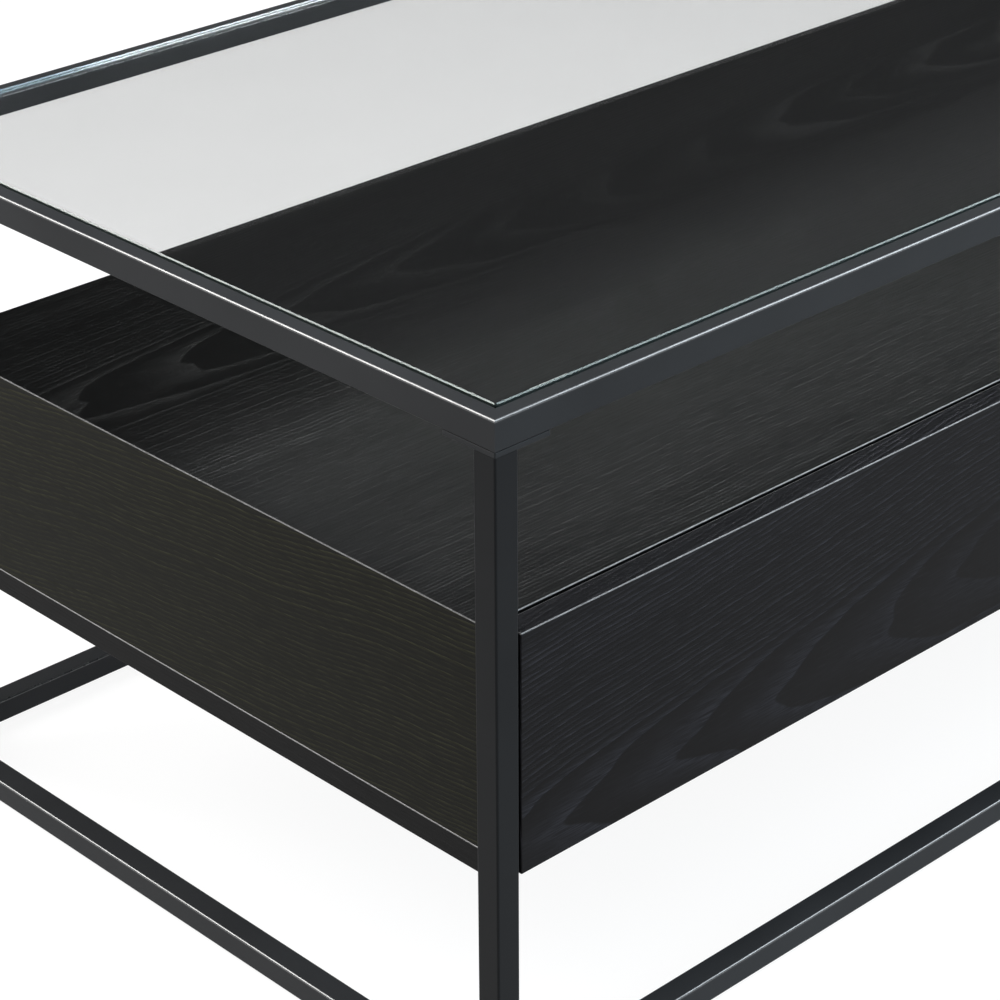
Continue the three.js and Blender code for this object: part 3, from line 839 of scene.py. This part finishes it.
def screws():
    down = (0, 0, -1)
    button = screw_head("button_head", 3.9 * MM, 2.0 * MM, 1.2 * MM)
    small = screw_head("small_head", 1.7 * MM, 1.0 * MM, 0.6 * MM)
    wood = screw_head("wood_screw_head", 4.2 * MM, 1.1 * MM, 0.7 * MM)
    frame_spots, wood_spots = [], []
    for side, s in (("left", -1), ("right", 1)):
        lo, hi = low(f"carrier_{side}"), high(f"carrier_{side}")
        tab_face = s * (HX - TUBE - 3 * MM)
        for fy in (-1, 1):
            y = fy * (max(abs(lo.y), abs(hi.y)) - 6 * MM)
            frame_spots.append(((tab_face, y, lo.z + 8 * MM), (-s, 0, 0)))
        middle = s * (HX - TUBE - 13 * MM)
        for y in CARRIER_SCREWS_Y:
            frame_spots.append(((middle, y, BOX_LOW.z - 3 * MM), down))
    for name, sx, sy in zip(CORNERS, (-1, 1, 1, -1), (-1, -1, 1, 1)):
        arm = TUBE + PLATE_SCREW_REACH
        z = low(f"leg_plate_{name}").z
        frame_spots.append(((sx * (HX - arm), sy * (HY - 0.5 * TUBE), z), down))
        frame_spots.append(((sx * (HX - 0.5 * TUBE), sy * (HY - arm), z), down))
    scatter("frame_screws", "table", "frame_black", button, SCREW_BLACK, 3, frame_spots)
    back = low("box_back").y + 6 * MM
    for x in BACK_SCREWS_X:
        wood_spots.append(((x, back, BOX_LOW.z), down))
    for y in DIVIDER_SCREWS_Y:
        wood_spots.append(((0.0, y, BOX_LOW.z), down))
    scatter("box_screws", "table", "slide_zinc", wood, SCREW_ZINC, 5, wood_spots)
    latch_spots = []
    for half in HALVES:
        lo, hi = low(f"latch_{half}_body"), high(f"latch_{half}_body")
        for z in (lo.z + 2.6 * MM, hi.z - 2.6 * MM):
            latch_spots.append(((0.5 * (lo.x + hi.x), lo.y, z), (0, -1, 0)))
    scatter("latch_screws", "table", "slide_zinc", small, SCREW_ZINC, 7, latch_spots)
    cam = cam_disc("cam_fitting", 6.5 * MM, 0.5 * MM)
    for k, half in enumerate(HALVES):
        spots = []
        z0, z1 = low(f"drawer_{half}_side_outer").z, high(f"drawer_{half}_side_outer").z
        y0 = low(f"drawer_{half}_side_outer").y + 24 * MM
        front_ends = low(f"drawer_{half}_front").x + high(f"drawer_{half}_front").x
        for wall in ("outer", "inner"):
            lo, hi = low(f"drawer_{half}_side_{wall}"), high(f"drawer_{half}_side_{wall}")
            inward = 1 if (lo.x + hi.x) < front_ends else -1
            face = hi.x if inward > 0 else lo.x
            for z in (z0 + 34 * MM, z1 - 18 * MM):
                spots.append(((face, y0, z), (inward, 0, 0)))
        scatter(f"cams_{half}", f"drawer_{half}", "slide_zinc", cam, SCREW_ZINC, 11 + k, spots)
    for obj in (button, small, wood, cam):
        bpy.data.objects.remove(obj)


# ---- drawers and their hardware ------------------------------------------------------------
SLIDE_SHEET = 1.2 * MM
SLOT_HALF = 2.2 * MM
SLOT_LONG = 14 * MM
SLOT_EVERY = 62 * MM
SLOTS_FROM = 24 * MM        # first slot from the front end of the member
SLOTS_CLEAR = 30 * MM       # no slot starts nearer than this to the rear end
BALL_RADIUS = 0.78 * MM
BALLS_IN_ROW = 15
CAGE_HALF = 1.9 * MM
CAGE_HALF_SHEET = 0.2 * MM
CAGE_LONG = 0.216
CAGE_END = 0.012            # from the cage to the end of the middle member


def ease(node, width):
    """Rounds the arrises of a CAD node with a modifier. Its mesh stays as it is."""
    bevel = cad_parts[node].modifiers.new("arris", "BEVEL")
    bevel.width = width
    bevel.segments = 2
    bevel.limit_method = "ANGLE"
    bevel.angle_limit = math.radians(50)


def slide_member(name, node, body, lip_in):
    """A rolled channel: web with punched slots, rounded bends, and flanges with a curled lip."""
    lo, hi = low(node), high(node)
    sheet = SLIDE_SHEET
    bm = bmesh.new()
    open_to = 1 if lip_in > 0 else -1
    web_x = lo.x if open_to > 0 else hi.x

    def at(depth):
        return web_x + open_to * depth

    y0, y1 = lo.y, hi.y
    holes = []
    y = y0 + SLOTS_FROM
    while y < y1 - SLOTS_CLEAR:
        slot = rect(y, -SLOT_HALF, y + SLOT_LONG, SLOT_HALF)
        holes.append(rounded(slot, SLOT_HALF - 0.1 * MM, 4))
        y += SLOT_EVERY
    mid = 0.5 * (lo.z + hi.z)
    half = 0.5 * (hi.z - lo.z)
    web = extrude(rect(y0, -(half - 1.5 * sheet), y1, half - 1.5 * sheet),
                  lambda a, b, far: (at(sheet if far else 0.0), a, mid + b), holes)
    merge(bm, web)
    depth = hi.x - lo.x
    for way in (-1, 1):
        outline = [(0.0, half - 1.5 * sheet), (0.0, half), (depth, half), (depth, half - 1.35 * sheet),
                   (depth - 0.6 * sheet, half - 1.35 * sheet), (depth - 0.6 * sheet, half - 0.85 * sheet),
                   (sheet, half - 0.85 * sheet), (sheet, half - 1.5 * sheet)]
        outline = rounded(outline, [sheet * k for k in (0, 1.0, 0.5, 0.25, 0.25, 0.2, 0.3, 0)], 5)
        merge(bm, extrude(outline, lambda a, b, far: (at(a), y1 if far else y0, mid + way * b)))
    obj = finish_mesh(name, bm, materials=(ZINC,))
    return seat(obj, body, "slide_zinc", node)


def merge(bm, other):
    """Adds another bmesh's faces to bm."""
    copy = {v: bm.verts.new(v.co) for v in other.verts}
    for face in other.faces:
        bm.faces.new([copy[v] for v in face.verts])
    other.free()


def slides(half):
    ball = bearing_ball("bearing_ball", BALL_RADIUS)
    spots = []
    cage = bmesh.new()
    for wall in ("outer", "inner"):
        fixed = f"slide_{half}_{wall}_fixed"
        drawer = f"slide_{half}_{wall}_drawer"
        toward = 1 if low(drawer).x > low(fixed).x else -1
        slide_member(f"slide_fixed_{half}_{wall}", fixed, "table", toward)
        middle = f"slide_{half}_{wall}_middle"
        slide_member(f"slide_middle_{half}_{wall}", middle, f"slide_middles_{half}", toward)
        slide_member(f"slide_inner_{half}_{wall}", drawer, f"drawer_{half}", -toward)
        middle_lo, middle_hi = low(middle), high(middle)
        mid = 0.5 * (middle_lo.z + middle_hi.z)
        base = low(fixed).x if toward > 0 else high(fixed).x
        rear_cage = middle_hi.y - CAGE_END - CAGE_LONG
        front_cage = middle_lo.y + CAGE_END
        for depth, rise, y0 in ((5.4 * MM, 20.45 * MM, rear_cage), (7.7 * MM, 17.55 * MM, front_cage)):
            y1 = y0 + CAGE_LONG
            x = base + toward * depth
            for way in (-1, 1):
                z = mid + way * rise
                near = (x - CAGE_HALF, y0, z - CAGE_HALF_SHEET)
                far = (x + CAGE_HALF, y1, z + CAGE_HALF_SHEET)
                merge(cage, block(near, far))
                for k in range(BALLS_IN_ROW):
                    y = y0 + CAGE_LONG * (k + 0.5) / BALLS_IN_ROW
                    spots.append(((x, y, z), (0, 0, 1)))
    obj = finish_mesh(f"ball_cages_{half}", cage, materials=(SCREW_ZINC,))
    seat(obj, f"slide_middles_{half}", "slide_zinc")
    scatter(f"balls_{half}", f"slide_middles_{half}", "slide_zinc", ball, STEEL, 2, spots)
    bpy.data.objects.remove(ball)


def make_drawers():
    for half in HALVES:
        body = f"drawer_{half}"
        board(f"front_{half}", f"drawer_{half}_front", 0, 1, FRONT_FIGURE, body)
        for part in ("side_outer", "side_inner", "back", "floor"):
            paint(f"drawer_{half}_{part}", FOIL)
            ease(f"drawer_{half}_{part}", 0.4 * MM)
        slides(half)
        paint(f"latch_{half}_body", GREY_PLASTIC)
        ease(f"latch_{half}_body", 0.4 * MM)
        paint(f"latch_{half}_plunger", BLACK_PLASTIC)
        ease(f"latch_{half}_plunger", 0.7 * MM)


# ---- stage ---------------------------------------------------------------------------------
FLOOR_HALF = 40.0
FLOOR_GLOW = 0.91
SURROUND = (0.045, 0.0465, 0.048, 1.0)      # what the gloss sees past the floor and the lamps
BACKDROP = (0.93, 0.93, 0.93, 1.0)


def make_stage():
    scene = bpy.context.scene
    scene.view_settings.view_transform = "Standard"
    mesh = bpy.data.meshes.new("floor")
    corners = [(x, y, 0.0) for x, y in rect(-FLOOR_HALF, -FLOOR_HALF, FLOOR_HALF, FLOOR_HALF)]
    mesh.from_pydata(corners, [], [(0, 1, 2, 3)])
    floor = bpy.data.objects.new("floor", mesh)
    scene.collection.objects.link(floor)
    g = Graph("floor_pale")
    g.set(Base_Color=(0.10, 0.10, 0.10, 1.0), Roughness=0.9)
    g.shader.inputs["Emission Color"].default_value = (1.0, 1.0, 1.0, 1.0)
    g.shader.inputs["Emission Strength"].default_value = FLOOR_GLOW
    mesh.materials.append(g.material)

    world = bpy.data.worlds.new("studio")
    world.use_nodes = True
    back = world.node_tree.nodes["Background"]
    back.inputs["Color"].default_value = SURROUND
    back.inputs["Strength"].default_value = 1.0
    pale = world.node_tree.nodes.new("ShaderNodeBackground")
    pale.inputs["Color"].default_value = BACKDROP
    seen = world.node_tree.nodes.new("ShaderNodeLightPath")
    either = world.node_tree.nodes.new("ShaderNodeMixShader")
    link = world.node_tree.links.new
    link(seen.outputs["Is Camera Ray"], either.inputs["Fac"])
    link(back.outputs[0], either.inputs[1])
    link(pale.outputs[0], either.inputs[2])
    link(either.outputs[0], world.node_tree.nodes["World Output"].inputs["Surface"])
    scene.world = world

    def lamp(name, place, aim, size, radiance, colour):
        """A rectangular softbox. radiance is how bright its face looks in a mirror."""
        data = bpy.data.lights.new(name, "AREA")
        data.shape = "RECTANGLE"
        data.size, data.size_y = size
        data.energy = 4.0 * radiance * size[0] * size[1]
        data.color = colour
        obj = bpy.data.objects.new(name, data)
        obj.location = place
        obj.rotation_euler = (Vector(place) - Vector(aim)).to_track_quat("Z", "Y").to_euler()
        scene.collection.objects.link(obj)
        return obj

    lamp("softbox_right", (2.0, -1.65, 2.15), (-0.2, 0.0, 0.4), (1.9, 1.9), 8, (0.86, 0.94, 1.0))
    lamp("softbox_left", (-2.05, 2.1, 2.15), (-0.5, 0.0, 0.4), (1.7, 1.9), 11.5, (1.0, 0.985, 0.965))
    lamp("softbox_above", (-0.45, -0.3, 2.7), (-0.2, 0.1, 0.4), (1.1, 0.9), 15, (1.0, 0.99, 0.98))
    fill = lamp("softbox_front", (0.7, -3.1, 1.3), (0.0, 0.0, 0.3), (2.4, 1.5), 3.3, (0.58, 0.82, 1.0))
    fill.visible_glossy = False     # it only fills, and leaves no gloss of its own


make_frame()
make_glass()
make_box()
make_drawers()
screws()
make_stage()
